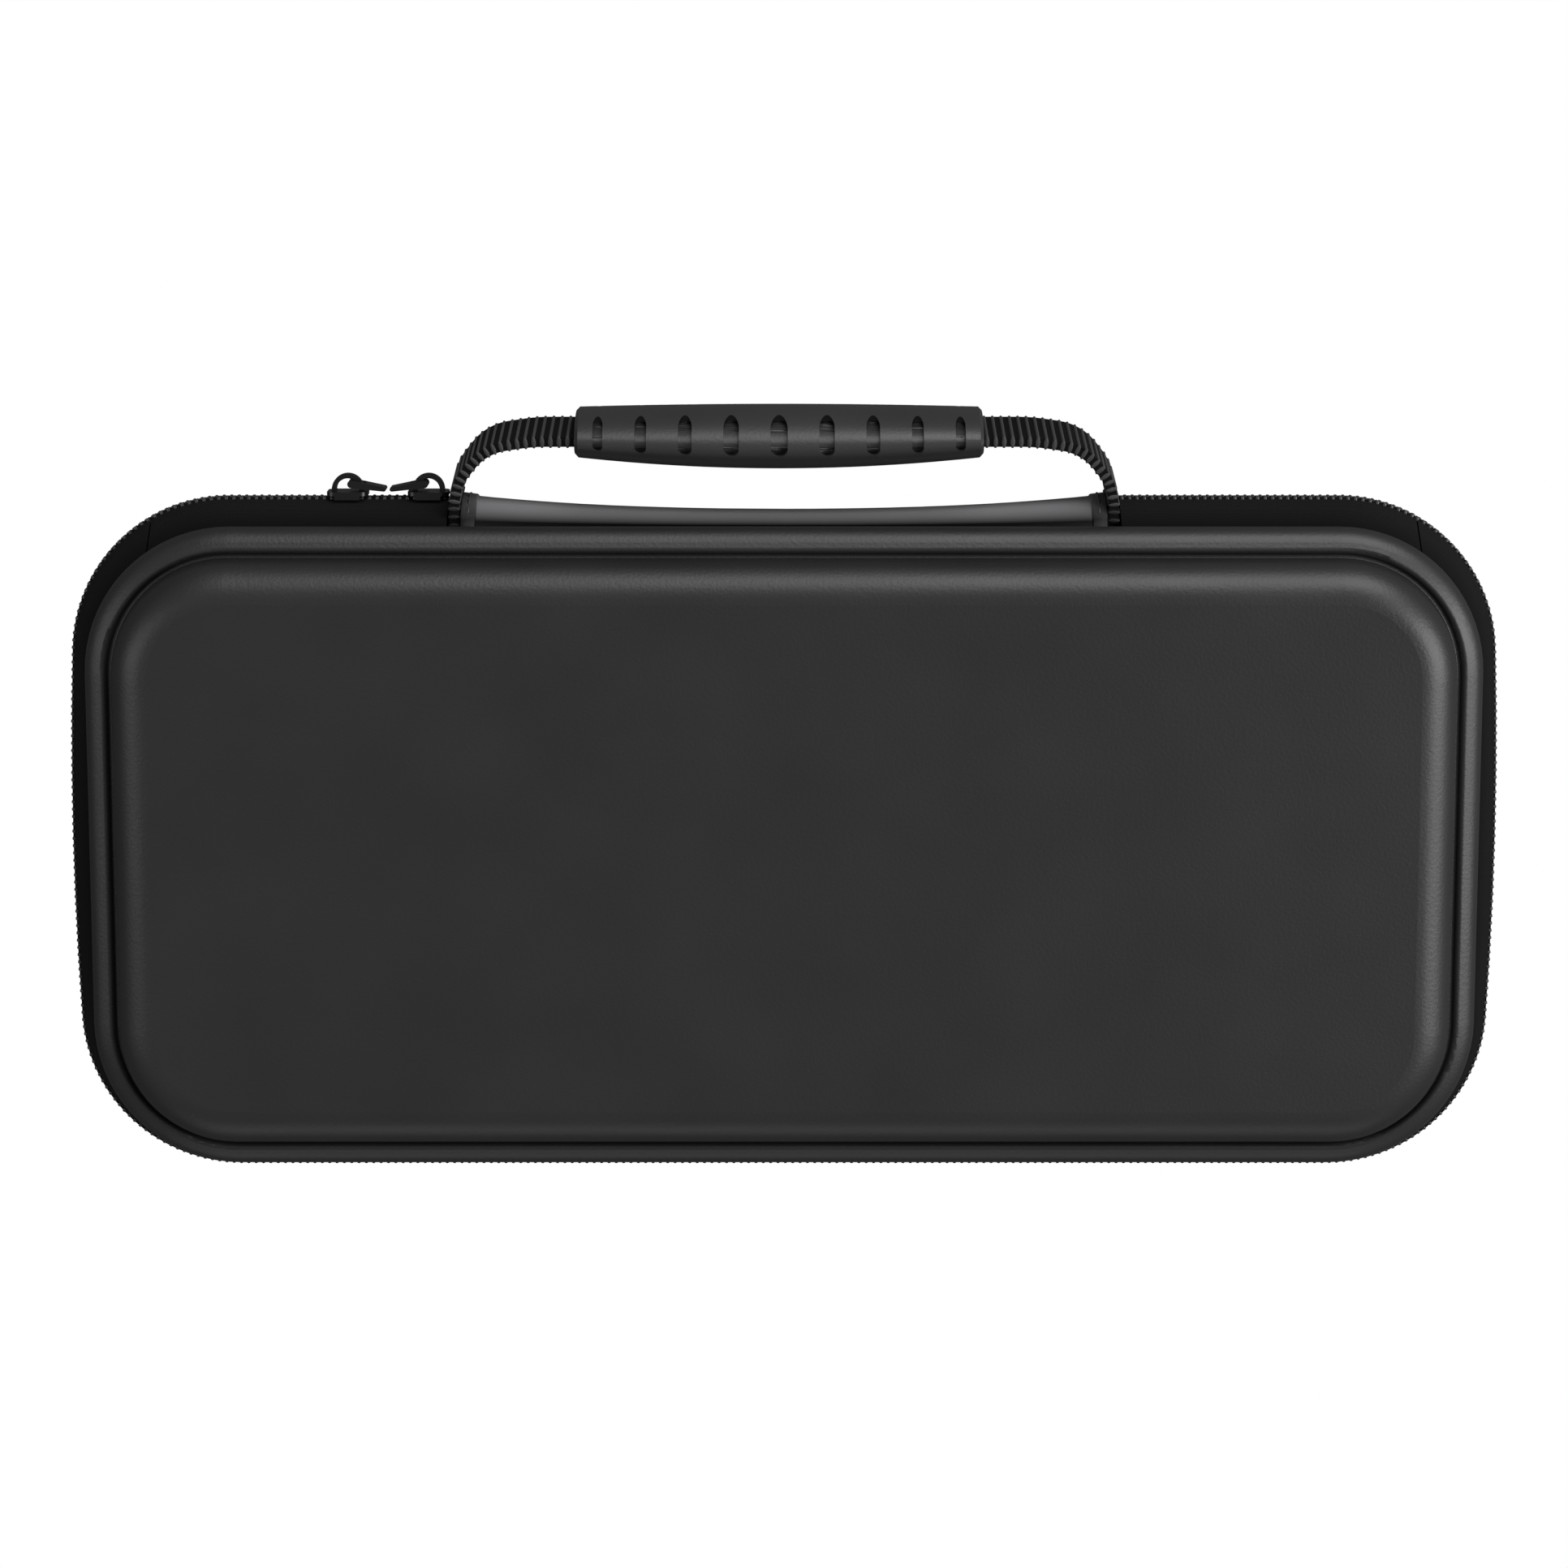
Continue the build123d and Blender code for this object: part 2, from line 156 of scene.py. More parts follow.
# %% Net group
net_group, start, end = new_group(
    "net_holes",
    [("Threads", "NodeSocketFloat", 1300.0), ("Thickness", "NodeSocketFloat", 0.42)],
    [("Alpha", "NodeSocketFloat")],
)
place = net_group.nodes.new("ShaderNodeTexCoord")
split = net_group.nodes.new("ShaderNodeSeparateXYZ")
thinnest = net_group.nodes.new("ShaderNodeMath")
thinnest.operation = "MINIMUM"
inside = net_group.nodes.new("ShaderNodeMath")
inside.operation = "LESS_THAN"
links = net_group.links
links.new(place.outputs["Object"], split.inputs["Vector"])
for index, operation in enumerate(("ADD", "SUBTRACT")):
    crossing = net_group.nodes.new("ShaderNodeMath")
    crossing.operation = operation
    spread = net_group.nodes.new("ShaderNodeMath")
    spread.operation = "MULTIPLY"
    wave = net_group.nodes.new("ShaderNodeMath")
    wave.operation = "SINE"
    size = net_group.nodes.new("ShaderNodeMath")
    size.operation = "ABSOLUTE"
    links.new(split.outputs["X"], crossing.inputs[0])
    links.new(split.outputs["Y"], crossing.inputs[1])
    links.new(crossing.outputs["Value"], spread.inputs[0])
    links.new(start.outputs["Threads"], spread.inputs[1])
    links.new(spread.outputs["Value"], wave.inputs[0])
    links.new(wave.outputs["Value"], size.inputs[0])
    links.new(size.outputs["Value"], thinnest.inputs[index])
links.new(thinnest.outputs["Value"], inside.inputs[0])
links.new(start.outputs["Thickness"], inside.inputs[1])
links.new(inside.outputs["Value"], end.inputs["Alpha"])
print("made group", net_group.name)

# %% Painted shade group
# Painted shade: the colour is mixed towards black by its distance from a middle height along an axis, in
# place of the shade at a seam.
painted_shade_group, start, end = new_group(
    "painted_shade_to_seam",
    [("Color", "NodeSocketColor", (0.02, 0.02, 0.02, 1)), ("Axis", "NodeSocketVector", (0, 0, 1)),
     ("Middle", "NodeSocketFloat", 0.0), ("Clear", "NodeSocketFloat", 0.006),
     ("Dark", "NodeSocketFloat", 0.012)],
    [("Color", "NodeSocketColor")],
)
place = painted_shade_group.nodes.new("ShaderNodeTexCoord")
along = painted_shade_group.nodes.new("ShaderNodeVectorMath")
along.operation = "DOT_PRODUCT"
offset = painted_shade_group.nodes.new("ShaderNodeMath")
offset.operation = "SUBTRACT"
away = painted_shade_group.nodes.new("ShaderNodeMath")
away.operation = "ABSOLUTE"
shade = painted_shade_group.nodes.new("ShaderNodeMapRange")
mix = painted_shade_group.nodes.new("ShaderNodeMix")
mix.data_type = "RGBA"
mix.inputs["B"].default_value = (0.001, 0.001, 0.001, 1)
links = painted_shade_group.links
links.new(place.outputs["Object"], along.inputs[0])
links.new(start.outputs["Axis"], along.inputs[1])
links.new(along.outputs["Value"], offset.inputs[0])
links.new(start.outputs["Middle"], offset.inputs[1])
links.new(offset.outputs["Value"], away.inputs[0])
links.new(away.outputs["Value"], shade.inputs["Value"])
links.new(start.outputs["Clear"], shade.inputs["From Min"])
links.new(start.outputs["Dark"], shade.inputs["From Max"])
links.new(shade.outputs["Result"], mix.inputs["Factor"])
links.new(start.outputs["Color"], mix.inputs["A"])
links.new(mix.outputs["Result"], end.inputs["Color"])
print("made group", painted_shade_group.name)

# %% [markdown]
# ## Materials
# One helper joins a pattern group to the shader: its colour, its gloss round a middle value, and its height
# as a fine bump. The two shells' meeting height and rim come from the frame.

# %% Heights from the frame
lid_low, lid_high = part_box("lid_shell")
rim_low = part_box("base_shell")[1][2]
hinge_y = lid_high[1]
parting = (lid_low[2] + rim_low) / 2
rim_height = lid_low[2] - parting
print("hinge line y:", round(hinge_y, 4))
print("parting z:", round(parting, 4), "rim height:", round(rim_height, 4))

# %% Material helper
def grey(value):
    """A neutral linear colour from an 8-bit screen grey, a touch cool."""
    level = value / 255
    linear = level / 12.92 if level <= 0.04045 else ((level + 0.055) / 1.055) ** 2.4
    return (linear, linear, linear * 1.03, 1)


def patterned(name, group, settings, roughness, bump, metallic=0.0, specular=0.5, sheen=0.0, painted_shade=None):
    """A material whose colour, gloss and surface all follow a pattern group."""
    material = bpy.data.materials.new(name)
    material.use_nodes = True
    tree = material.node_tree
    shader = tree.nodes["Principled BSDF"]
    pattern = tree.nodes.new("ShaderNodeGroup")
    pattern.node_tree = group
    for label, value in settings.items():
        pattern.inputs[label].default_value = value
    colour = pattern.outputs["Color"]
    # An optional painted shade darkens the base colour towards a seam.
    if painted_shade:
        shade = tree.nodes.new("ShaderNodeGroup")
        shade.node_tree = painted_shade_group
        for label, value in painted_shade.items():
            shade.inputs[label].default_value = value
        tree.links.new(colour, shade.inputs["Color"])
        colour = shade.outputs["Color"]
    add = tree.nodes.new("ShaderNodeMath")
    add.inputs[1].default_value = roughness
    raised = tree.nodes.new("ShaderNodeBump")
    raised.inputs["Strength"].default_value = bump
    raised.inputs["Distance"].default_value = 0.0002
    tree.links.new(colour, shader.inputs["Base Color"])
    tree.links.new(pattern.outputs["Roughness"], add.inputs[0])
    tree.links.new(add.outputs["Value"], shader.inputs["Roughness"])
    tree.links.new(pattern.outputs["Height"], raised.inputs["Height"])
    tree.links.new(raised.outputs["Normal"], shader.inputs["Normal"])
    shader.inputs["Metallic"].default_value = metallic
    shader.inputs["Specular IOR Level"].default_value = specular
    shader.inputs["Sheen Weight"].default_value = sheen
    return material


def grain(scale, dark, light):
    """Settings of the fine grain group."""
    return {"Scale": scale, "Dark": grey(dark), "Light": grey(light)}


def weave(pitch, dark, light):
    """Settings of the weave group, with the rows' pitch in metres."""
    return {"Rows": 2 * pi / pitch, "Dark": grey(dark), "Light": grey(light)}


print("material helpers ready")

# %% Materials
# Painted shade: the tape and the strip darken towards the seam at the rim, and the webbing darkens near its
# root under the strip.
tape_painted_shade = {"Middle": parting, "Clear": 0.4 * rim_height, "Dark": 0.95 * rim_height}
strip_painted_shade = {"Middle": parting, "Clear": 0.35 * rim_height, "Dark": 0.85 * rim_height}
webbing_painted_shade = {"Axis": (0, 1, 0), "Middle": hinge_y + 20 * MM, "Clear": 15 * MM, "Dark": 17.5 * MM}

skin = patterned("moulded_skin", grain_group, grain(1400, 26, 32), 0.44, 0.25)
# The strip is black: its light grey is a painted highlight along its top edge, fading to painted shade at the
# seam. The hem's grey is a painted highlight on its fold.
strip_skin = patterned(
    "strip_skin", grain_group, grain(1200, 142, 154), 0.5, 0.25, specular=0.1, painted_shade=strip_painted_shade
)
hem_painted_highlight = patterned(
    "hem_painted_highlight", grain_group, grain(1200, 80, 96), 0.45, 0.25, specular=0.2, painted_shade=strip_painted_shade
)
tape_weave = patterned(
    "zip_tape", weave_group, weave(0.7 * MM, 10, 26), 0.9, 0.5, specular=0.12, painted_shade=tape_painted_shade
)
coil_plastic = patterned("zip_coil", grain_group, grain(2000, 40, 60), 0.35, 0.1)
webbing_weave = patterned(
    "webbing", grain_group, grain(2500, 44, 60), 0.7, 0.5, specular=0.4, painted_shade=webbing_painted_shade
)
webbing_ground = patterned("webbing_ground", grain_group, grain(2500, 8, 14), 0.9, 0.5, specular=0.1)
grip_rubber = patterned("grip_rubber", grain_group, grain(1600, 38, 46), 0.42, 0.2)
slider_metal = patterned("slider_metal", grain_group, grain(900, 46, 62), 0.3, 0.05, metallic=0.9)
lining = patterned("tray_lining", grain_group, grain(2200, 34, 44), 0.95, 0.6, specular=0.2, sheen=0.3)
binding_weave = patterned("binding", weave_group, weave(0.9 * MM, 12, 30), 0.85, 0.5, specular=0.2)
thread = patterned("thread", grain_group, grain(3000, 60, 80), 0.6, 0.4, specular=0.3)
net_threads = patterned("net", grain_group, grain(2500, 22, 34), 0.8, 0.3, specular=0.3)
holes = net_threads.node_tree.nodes.new("ShaderNodeGroup")
holes.node_tree = net_group
holes.inputs["Threads"].default_value = pi / (2.4 * MM)
net_threads.node_tree.links.new(
    holes.outputs["Alpha"], net_threads.node_tree.nodes["Principled BSDF"].inputs["Alpha"]
)
print("materials:", len(bpy.data.materials))

# %% Rigid pieces keep their CAD shape
finish_of = {
    "lid_shell": skin, "base_shell": skin, "handle_grip": grip_rubber,
    "left_slider": slider_metal, "right_slider": slider_metal,
    "left_pull": slider_metal, "right_pull": slider_metal,
}
for name, material in finish_of.items():
    nodes[name].data.materials.clear()
    nodes[name].data.materials.append(material)
print("finished nodes:", len(finish_of))

# %% [markdown]
# ## Modelling helpers
# Soft pieces start from the CAD solids, so they sit exactly where the frame says. A copy of a node's mesh
# has its doubled corners merged before anything else is done to it.

# %% Helpers
def activate(piece):
    """Select one piece alone and make it active."""
    bpy.ops.object.select_all(action="DESELECT")
    piece.select_set(True)
    bpy.context.view_layer.objects.active = piece


def apply_all(piece):
    """Apply a piece's modifiers, from the first to the last."""
    activate(piece)
    for modifier in list(piece.modifiers):
        bpy.ops.object.modifier_apply(modifier=modifier.name)


def cad_copy(node, name):
    """A new piece with a CAD node's mesh, its doubled corners merged."""
    piece = bpy.data.objects.new(name, nodes[node].data.copy())
    bpy.context.collection.objects.link(piece)
    activate(piece)
    bpy.ops.object.mode_set(mode="EDIT")
    bpy.ops.mesh.select_all(action="SELECT")
    bpy.ops.mesh.remove_doubles(threshold=0.01 * MM)
    bpy.ops.mesh.normals_make_consistent(inside=False)
    bpy.ops.object.mode_set(mode="OBJECT")
    return piece


def remove(piece, kind, parts, unwanted):
    """Delete the faces or corners of a piece that a test picks."""
    activate(piece)
    bpy.ops.object.mode_set(mode="EDIT")
    bpy.ops.mesh.select_mode(type=kind)
    bpy.ops.mesh.select_all(action="DESELECT")
    bpy.ops.object.mode_set(mode="OBJECT")
    for part in parts:
        part.select = unwanted(part)
    bpy.ops.object.mode_set(mode="EDIT")
    bpy.ops.mesh.delete(type=kind)
    bpy.ops.object.mode_set(mode="OBJECT")


def slice_along(piece, axis, stations):
    """Cut a piece's faces at stations along an axis, so that it can bend there."""
    activate(piece)
    bpy.ops.object.mode_set(mode="EDIT")
    for station in stations:
        bpy.ops.mesh.select_all(action="SELECT")
        bpy.ops.mesh.bisect(plane_co=[station * part for part in axis], plane_no=axis)
    bpy.ops.object.mode_set(mode="OBJECT")


def smooth(piece, angle=35):
    """Shade a piece smooth, except over edges sharper than an angle."""
    activate(piece)
    bpy.ops.object.shade_smooth_by_angle(angle=radians(angle))


def dress(piece, material, slot_name, *stood_for):
    """Give a piece its one material and hide the CAD nodes it stands for. The slot name is not used."""
    piece.data.materials.clear()
    piece.data.materials.append(material)
    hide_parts(*stood_for)


def steps(start, end, count):
    """Evenly spread stations between two ends, without the ends."""
    return [start + (end - start) * (index + 1) / (count + 1) for index in range(count)]


print("helpers ready")

# %% [markdown]
# ## Zip tapes
# The long runs of woven tape ride on the lid and the base. The short runs beside the handle are split at the
# parting into a lid half and a base half and cut across so that they could bend; they are not bent or
# attached.

# %% Long runs of tape
for half in ("lid", "base"):
    tape = cad_copy(f"{half}_zip_tape", f"{half}_tape")
    smooth(tape)
    dress(tape, tape_weave, "zip_tape", f"{half}_zip_tape")
    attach(tape, half)
print("long tapes made")


def bend_short_run(piece, half):
    """Bake a short run's placement into its mesh; the lid's and the base's runs are treated alike."""
    if half == "lid":
        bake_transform(piece)
    else:
        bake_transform(piece)


for side, sign in (("left", -1), ("right", 1)):
    low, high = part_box(f"{side}_zip_end_tape")
    for half, up in (("lid", 1), ("base", -1)):
        tape = cad_copy(f"{side}_zip_end_tape", f"{side}_{half}_end_tape")
        remove(tape, "VERT", tape.data.vertices, lambda corner: (corner.co.z - parting) * up < 0)
        slice_along(tape, (1, 0, 0), steps(low[0], high[0], 15))
        slice_along(tape, (0, 0, 1), steps(parting, parting + up * rim_height, 6))
        smooth(tape)
        dress(tape, tape_weave, "zip_tape", f"{side}_zip_end_tape")
        bend_short_run(tape, half)
print("short tapes made")

# %% [markdown]
# ## Zip teeth
# One tooth is modelled from a cube and repeated along the outer edge of each coil with an Array and a
# Curve modifier. The teeth of the base stand half a pitch further on, so the two rows mesh.

# %% Paths and runs
def outer_edge(piece, wanted):
    """Turn a piece into a flat curve along its outer face, going anticlockwise round the case."""
    remove(piece, "FACE", piece.data.polygons, lambda face: not wanted(face))
    levels = [corner.co.z for corner in piece.data.vertices]
    middle = (min(levels) + max(levels)) / 2
    remove(piece, "VERT", piece.data.vertices, lambda corner: corner.co.z < middle)
    bpy.ops.object.convert(target="CURVE")
    piece.data.dimensions = "2D"
    first, second = (piece.data.splines[0].points[index].co.to_3d() for index in (0, 1))
    if first.cross(second).z < 0:
        bpy.ops.object.mode_set(mode="EDIT")
        bpy.ops.curve.select_all(action="SELECT")
        bpy.ops.curve.switch_direction()
        bpy.ops.object.mode_set(mode="OBJECT")
    return piece


def repeat_along(cell, path, pitch):
    """Repeat a cell along a path, bend it round and make it one mesh. The path is used up."""
    row = cell.modifiers.new("repeat", "ARRAY")
    row.fit_type = "FIT_CURVE"
    row.curve = path
    row.use_relative_offset = False
    row.use_constant_offset = True
    row.constant_offset_displace = (pitch, 0, 0)
    follow = cell.modifiers.new("follow", "CURVE")
    follow.object = path
    apply_all(cell)
    bpy.data.objects.remove(path)


def duplicate(piece, name):
    """A copy of a piece with a mesh of its own."""
    activate(piece)
    bpy.ops.object.duplicate()
    copy = bpy.context.object
    copy.name = name
    return copy


print("path helpers ready")

# %% One tooth
tooth_pitch = 1.55 * MM
tooth_width = 0.74 * MM
tooth_depth = 1.5 * MM
tooth_root = 1.9 * MM
tooth_overlap = 0.45 * MM
tooth_sink = 0.1 * MM
tooth_rounding = 0.28 * MM
core_inset = 0.2 * MM

bpy.ops.object.select_all(action="DESELECT")
bpy.ops.mesh.primitive_cube_add(size=1)
tooth = bpy.context.object
tooth.name = "tooth"
tooth.scale = (tooth_width, tooth_depth, tooth_root + tooth_overlap)
tooth.location = (tooth_pitch / 2, tooth_depth / 2 - tooth_sink, (tooth_root - tooth_overlap) / 2)
bpy.ops.object.transform_apply(location=True, rotation=True, scale=True)
rounding = tooth.modifiers.new("rounding", "BEVEL")
rounding.width = tooth_rounding
rounding.segments = 2
apply_all(tooth)
print("tooth faces:", len(tooth.data.polygons))


def coil_core(node, name, up):
    """The dark cord under a row of teeth: one half of a CAD coil, a little thinner."""
    core = cad_copy(node, name)
    remove(core, "VERT", core.data.vertices, lambda corner: (corner.co.z - parting) * up < 0)
    activate(core)
    bpy.ops.object.mode_set(mode="EDIT")
    bpy.ops.mesh.select_all(action="SELECT")
    bpy.ops.transform.shrink_fatten(value=-core_inset)
    bpy.ops.object.mode_set(mode="OBJECT")
    smooth(core)
    dress(core, tape_weave, "zip_coil", node)
    return core


def row_of_teeth(node, name, half, wanted):
    """A row of teeth along a CAD coil, for the lid's half or the base's half."""
    row = duplicate(tooth, name)
    if half == "base":
        row.scale.z = -1
        row.location.x = tooth_pitch / 2
    row.location.z = parting
    bpy.ops.object.transform_apply(location=True, rotation=True, scale=True)
    repeat_along(row, outer_edge(cad_copy(node, f"{name}_path"), wanted), tooth_pitch)
    activate(row)
    bpy.ops.object.mode_set(mode="EDIT")
    bpy.ops.mesh.select_all(action="SELECT")
    bpy.ops.mesh.normals_make_consistent(inside=False)
    bpy.ops.object.mode_set(mode="OBJECT")
    smooth(row)
    dress(row, coil_plastic, "zip_coil", node)
    return row


# %% All rows of teeth
for half in ("lid", "base"):
    row = row_of_teeth(
        f"{half}_zip_coil", f"{half}_teeth", half,
        lambda face: abs(face.normal.z) < 0.5 and face.normal.dot(face.center) > 0.02,
    )
    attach(row, half)
    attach(coil_core(f"{half}_zip_coil", f"{half}_coil_core", 1 if half == "lid" else -1), half)
for side, sign in (("left", -1), ("right", 1)):
    for half, up in (("lid", 1), ("base", -1)):
        row = row_of_teeth(
            f"{side}_zip_end_coil", f"{side}_{half}_end_teeth", half,
            lambda face: face.normal.y > 0.3 and (face.center.z - parting) * up > 0,
        )
        bend_short_run(row, half)
        core = coil_core(f"{side}_zip_end_coil", f"{side}_{half}_end_core", up)
        low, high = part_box(f"{side}_zip_end_coil")
        slice_along(core, (1, 0, 0), steps(low[0], high[0], 15))
        bend_short_run(core, half)
bpy.data.objects.remove(tooth)
print("rows of teeth made")

# %% [markdown]
# ## Hinge strip and hems
# The strip is smooth coated cloth, folded over and sewn down at both ends.

# %% Strip
strip = cad_copy("hinge_strip", "strip")
smooth(strip)
dress(strip, strip_skin, "strip_skin", "hinge_strip")
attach(strip, "spine")
print("strip faces:", len(strip.data.polygons))

# %% Hems with a row of stitches
stitch_length = 2.0 * MM
stitch_gap = 0.7 * MM
stitch_width = 0.35 * MM
stitch_sink = 0.15 * MM
stitches_each_way = 3
hem_fold = 0.5 * MM
hem_tuck = 0.7 * MM
bpy.ops.object.select_all(action="DESELECT")
bpy.ops.mesh.primitive_uv_sphere_add(segments=10, ring_count=6, radius=0.5)
stitch = bpy.context.object
stitch.name = "stitch"
stitch.scale = (stitch_width, stitch_width, stitch_length)
bpy.ops.object.transform_apply(location=True, rotation=True, scale=True)
smooth(stitch, 60)

for side, sign in (("left", -1), ("right", 1)):
    low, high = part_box(f"{side}_strip_hem")
    hem = cad_copy(f"{side}_strip_hem", f"{side}_hem")
    edge = hem.modifiers.new("fold", "BEVEL")
    edge.width = hem_fold
    edge.segments = 3
    edge.limit_method = "ANGLE"
    edge.angle_limit = radians(50)
    apply_all(hem)
    smooth(hem)
    dress(hem, hem_painted_highlight, "strip_skin", f"{side}_strip_hem")
    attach(hem, "spine")
    half_height = (high[2] - low[2]) / 2
    crown = high[1] - stitch_sink
    sagitta = crown - (hinge_y - hem_tuck)
    arc_radius = (sagitta ** 2 + half_height ** 2) / (2 * sagitta)
    seam = []
    for index in range(-stitches_each_way, stitches_each_way + 1):
        height = index * (stitch_length + stitch_gap)
        turn = asin(height / arc_radius)
        dash = duplicate(stitch, f"{side}_stitch")
        dash.location = ((low[0] + high[0]) / 2, crown - arc_radius * (1 - cos(turn)), parting + height)
        dash.rotation_euler = (turn, 0, 0)
        bpy.ops.object.transform_apply(location=True, rotation=True, scale=True)
        seam.append(dash)
    bpy.ops.object.select_all(action="DESELECT")
    for dash in seam:
        dash.select_set(True)
    bpy.context.view_layer.objects.active = seam[0]
    bpy.ops.object.join()
    seam[0].name = f"{side}_hem_stitches"
    seam[0].data.materials.append(thread)
    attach(seam[0], "spine")
bpy.data.objects.remove(stitch)
print("hems and stitches made")

# %% [markdown]
# ## Ribbed webbing
# The handle's webbing has ribs across a darker ground. One rib is an oval rod, repeated along the band's
# outer face in a flat layout, and the finished row is then leaned over like the CAD band.

# %% Webbing
rib_pitch = 1.74 * MM
rib_width = 0.62 * rib_pitch
rib_rounding = 0.35 * MM
rib_inset = 0.1 * MM
ground_inset = 0.4 * MM
handle_lean = radians(8)
handle_root = Vector((0, hinge_y, parting))
lean_over = (
    Matrix.Translation(handle_root) @ Matrix.Rotation(handle_lean, 4, "X") @ Matrix.Translation(-handle_root)
)
webbing_width = 18 * MM
webbing_thickness = 2.5 * MM

path = cad_copy("handle_webbing", "webbing_path")
path.data.transform(lean_over.inverted())
outer_edge(path, lambda face: abs(face.normal.z) < 0.5 and face.normal.dot(face.center - handle_root) > 0)

bpy.ops.object.select_all(action="DESELECT")
bpy.ops.mesh.primitive_cylinder_add(vertices=16, radius=0.5, depth=1)
webbing = bpy.context.object
webbing.name = "webbing"
webbing.scale = (rib_width, webbing_thickness, webbing_width - rib_inset)
webbing.location = (rib_pitch / 2, webbing_thickness / 2, parting)
bpy.ops.object.transform_apply(location=True, rotation=True, scale=True)
rounding = webbing.modifiers.new("rounding", "BEVEL")
rounding.width = rib_rounding
rounding.segments = 2
rounding.limit_method = "ANGLE"
rounding.angle_limit = radians(60)
apply_all(webbing)
repeat_along(webbing, path, rib_pitch)
webbing.data.transform(lean_over)
smooth(webbing, 50)
dress(webbing, webbing_weave, "webbing", "handle_webbing")
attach(webbing, "spine")
ground = cad_copy("handle_webbing", "webbing_ground")
activate(ground)
bpy.ops.object.mode_set(mode="EDIT")
bpy.ops.mesh.select_all(action="SELECT")
bpy.ops.transform.shrink_fatten(value=-ground_inset)
bpy.ops.object.mode_set(mode="OBJECT")
smooth(ground)
dress(ground, webbing_ground, "webbing", "handle_webbing")
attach(ground, "spine")
print("webbing faces:", len(webbing.data.polygons))

# %% [markdown]
# ## Floors of the grip's slots
# The CAD slots go down to the grip's core. A softer inner sleeve, the hull of the grip drawn in a little,
# closes them just under the surface.

# %% Inner sleeve
sleeve_share = (0.97, 0.74, 0.86, 1)
sleeve = cad_copy("handle_grip", "grip_inner_sleeve")
activate(sleeve)
bpy.ops.object.mode_set(mode="EDIT")
bpy.ops.mesh.select_all(action="SELECT")
bpy.ops.mesh.convex_hull()
bpy.ops.mesh.select_all(action="SELECT")
bpy.ops.mesh.normals_make_consistent(inside=False)
bpy.ops.object.mode_set(mode="OBJECT")
grip_low, grip_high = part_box("handle_grip")
grip_middle = (Vector(grip_low) + Vector(grip_high)) / 2
grip_place = Matrix.Translation(grip_middle) @ Matrix.Rotation(handle_lean, 4, "X")
sleeve.data.transform(grip_place @ Matrix.Diagonal(sleeve_share) @ grip_place.inverted())
smooth(sleeve, 50)
sleeve.data.materials.clear()
sleeve.data.materials.append(grip_rubber)
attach(sleeve, "spine")
print("sleeve faces:", len(sleeve.data.polygons))

# %% [markdown]
# ## Inside
# The tray is padded foam under brushed cloth, the bindings cover the seams inside the rims, and the lid
# has a net pocket with an elastic hem.

# %% Tray and bindings
def softened(node, name, width, angle=40):
    """A copy of a CAD node with rounded edges."""
    piece = cad_copy(node, name)
    edge = piece.modifiers.new("soft_edge", "BEVEL")
    edge.width = width
    edge.segments = 3
    edge.limit_method = "ANGLE"
    edge.angle_limit = radians(angle)
    apply_all(piece)
    smooth(piece)
    return piece


tray = softened("console_tray", "tray", 1.0 * MM)
dress(tray, lining, "tray_lining", "console_tray")
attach(tray, "base")
for half in ("lid", "base"):
    tape = softened(f"{half}_binding", f"{half}_seam_tape", 0.3 * MM)
    dress(tape, binding_weave, "binding", f"{half}_binding")
    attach(tape, half)
print("tray and bindings made")

# %% Net pocket and its hem
net_depth_middle = 40 * MM
pocket_hem = softened("net_pocket_hem", "pocket_hem", 0.4 * MM)
dress(pocket_hem, binding_weave, "binding", "net_pocket_hem")
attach(pocket_hem, "lid")
net = cad_copy("net_pocket", "net")
net_low, net_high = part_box("net_pocket")
net_middle = Vector((0, net_low[1] + net_depth_middle, 0))


def not_net(face):
    """Whether a face of the CAD pocket lies on its back, its inside or its open edge."""
    inward = face.normal.dot(face.center - net_middle) < 0
    return face.normal.z > 0.5 or (inward and abs(face.normal.z) < 0.5) or face.normal.y > 0.5


remove(net, "FACE", net.data.polygons, not_net)
smooth(net, 60)
dress(net, net_threads, "net", "net_pocket")
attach(net, "lid")
print("net and hem made")

# %% [markdown]
# ## Studio
# The case lies on its back on a white table. The photograph looks down on the lid, leaning a little
# towards the handle, through a long lens. Broad soft lamps give the long highlights on the bead and
# the panel's edge, strongest from the right and from the handle's side.

# %% White floor and world
floor_drop = 0.5 * MM
bpy.ops.object.select_all(action="DESELECT")
bpy.ops.mesh.primitive_plane_add(size=8, location=(0, 0, -floor_drop))
floor = bpy.context.object
floor.name = "floor"
floor_paint = bpy.data.materials.new("white_table")
floor_paint.use_nodes = True
tree = floor_paint.node_tree
shader = tree.nodes["Principled BSDF"]
shader.inputs["Base Color"].default_value = (0.08, 0.08, 0.08, 1)
shader.inputs["Roughness"].default_value = 0.9
white = tree.nodes.new("ShaderNodeEmission")
white.inputs["Color"].default_value = (1, 1, 1, 1)
rays = tree.nodes.new("ShaderNodeLightPath")
seen = tree.nodes.new("ShaderNodeMath")
seen.operation = "MAXIMUM"
choose = tree.nodes.new("ShaderNodeMixShader")
tree.links.new(rays.outputs["Is Camera Ray"], seen.inputs[0])
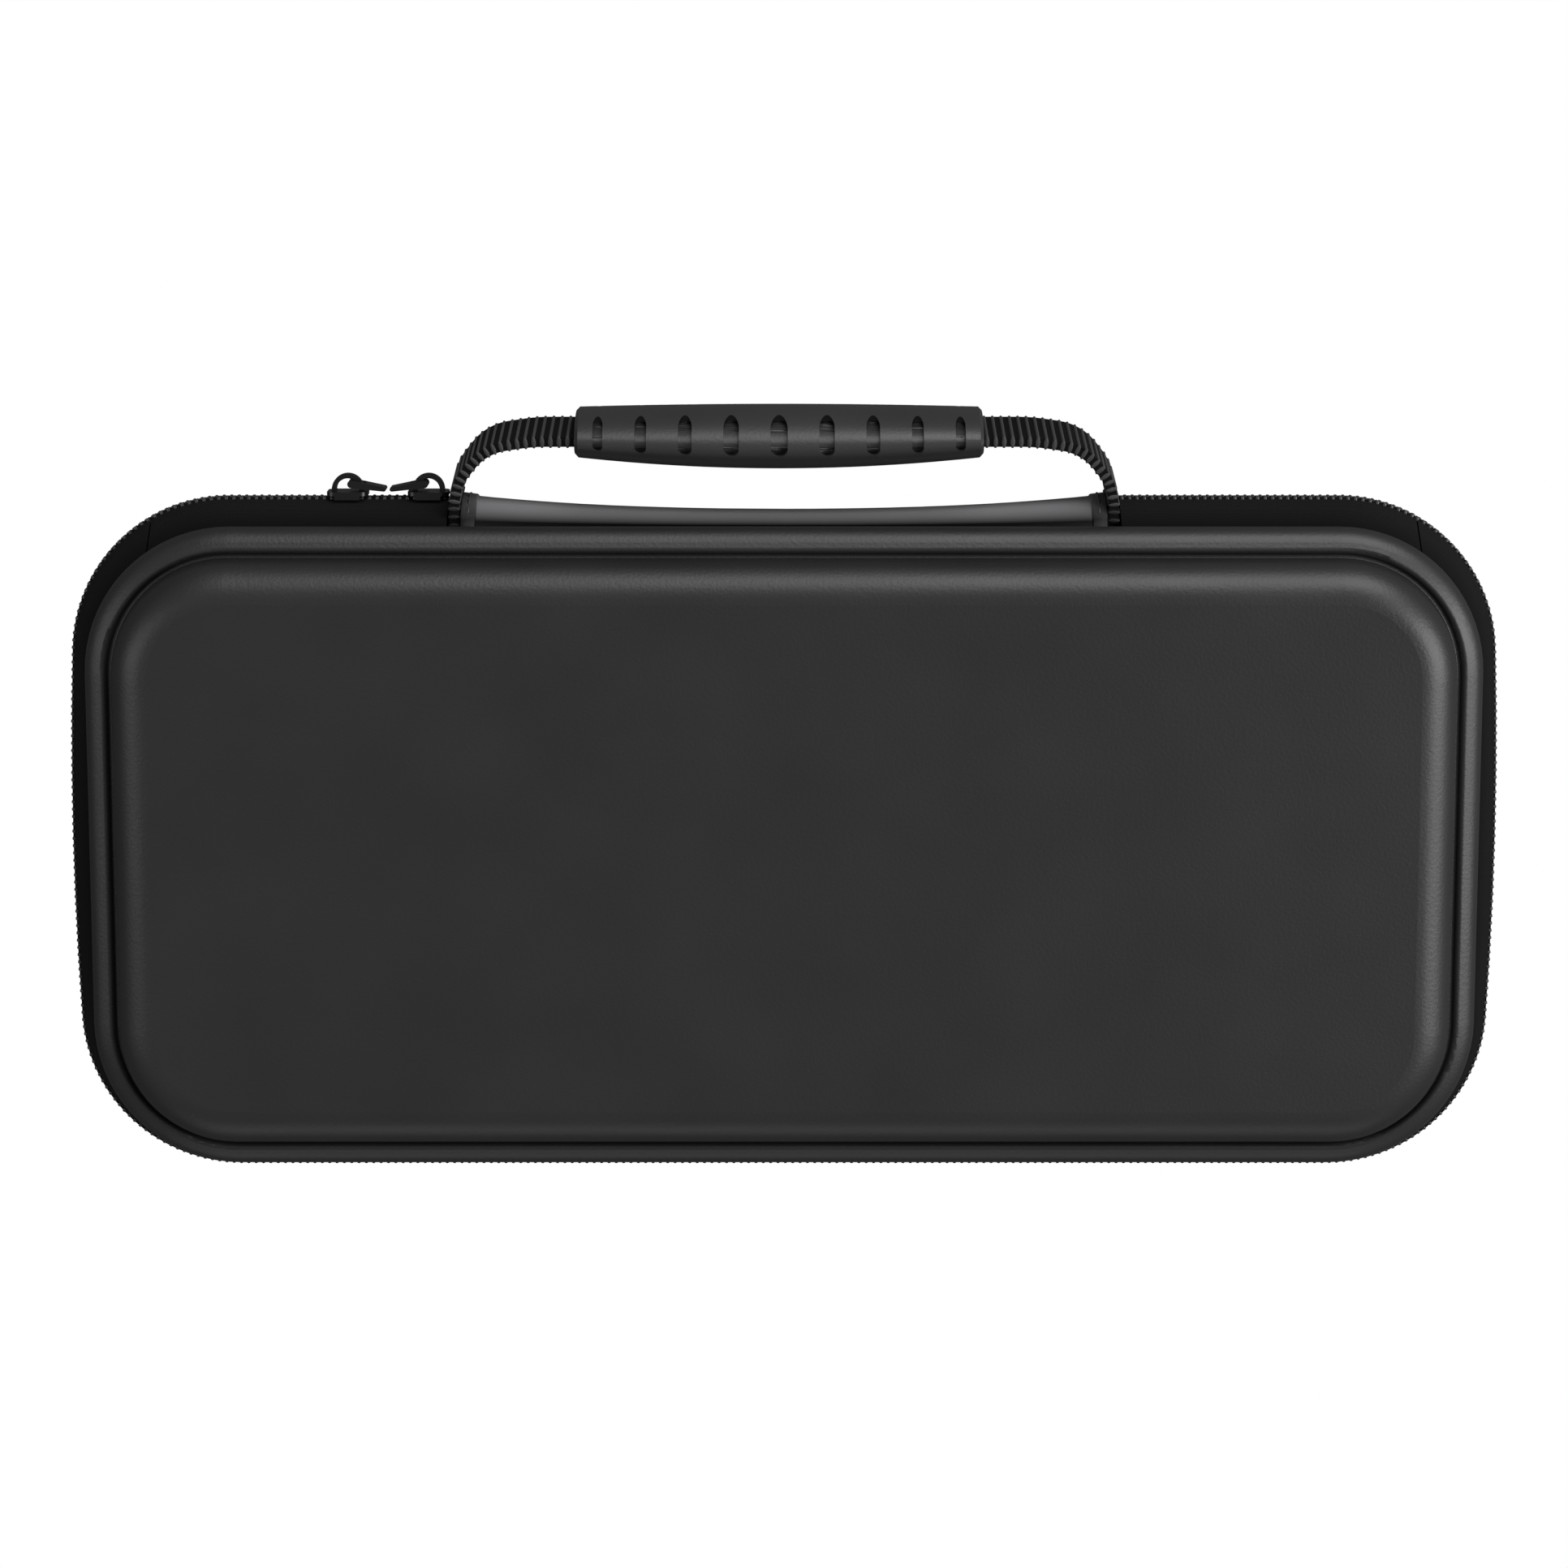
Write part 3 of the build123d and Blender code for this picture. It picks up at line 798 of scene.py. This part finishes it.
tree.links.new(rays.outputs["Is Transmission Ray"], seen.inputs[1])
tree.links.new(seen.outputs["Value"], choose.inputs["Fac"])
tree.links.new(shader.outputs["BSDF"], choose.inputs[1])
tree.links.new(white.outputs["Emission"], choose.inputs[2])
tree.links.new(choose.outputs["Shader"], tree.nodes["Material Output"].inputs["Surface"])
floor.data.materials.append(floor_paint)

world = bpy.context.scene.world or bpy.data.worlds.new("World")
bpy.context.scene.world = world
world.use_nodes = True
world.node_tree.nodes["Background"].inputs["Color"].default_value = (1, 1, 1, 1)
world.node_tree.nodes["Background"].inputs["Strength"].default_value = 0.26
bpy.context.scene.view_settings.view_transform = "Standard"
print("floor and world made")

# %% Soft lamps
def soft_lamp(name, place, aim, size, power):
    """A rectangular area lamp turned towards a point."""
    bpy.ops.object.light_add(type="AREA", location=place)
    lamp = bpy.context.object
    lamp.name = name
    lamp.data.shape = "RECTANGLE"
    lamp.data.size, lamp.data.size_y = size
    lamp.data.energy = power
    direction = Vector(aim) - Vector(place)
    lamp.rotation_euler = direction.to_track_quat("-Z", "Y").to_euler()
    return lamp


case_middle = (0, 0, 30 * MM)
soft_lamp("top_lamp", (0.45, 1.4, 0.75), case_middle, (1.2, 1.1), 19.0)
soft_lamp("right_lamp", (1.2, 0.1, 0.8), case_middle, (0.8, 1.1), 18.0)
soft_lamp("left_lamp", (-1.2, 0.1, 0.9), case_middle, (0.6, 1.0), 4.0)
soft_lamp("front_fill", (0, -1.6, 0.5), case_middle, (1.6, 0.8), 3.0)
print("lamps:", len(bpy.data.lights))

# %% Camera at the photograph's angle
lean = radians(10.5)
distance = 1.0
centre = Vector((0, 10.9 * MM, parting))
bpy.ops.object.camera_add()
camera = bpy.context.object
camera.name = "camera"
camera.location = centre + distance * Vector((0, sin(lean), cos(lean)))
camera.rotation_euler = (-lean, 0, 0)
camera.data.sensor_width = 36.0
camera.data.lens = 36.0 * distance / 0.3264
camera.data.clip_end = 20.0
bpy.context.scene.camera = camera
print("camera lens:", round(camera.data.lens, 1))
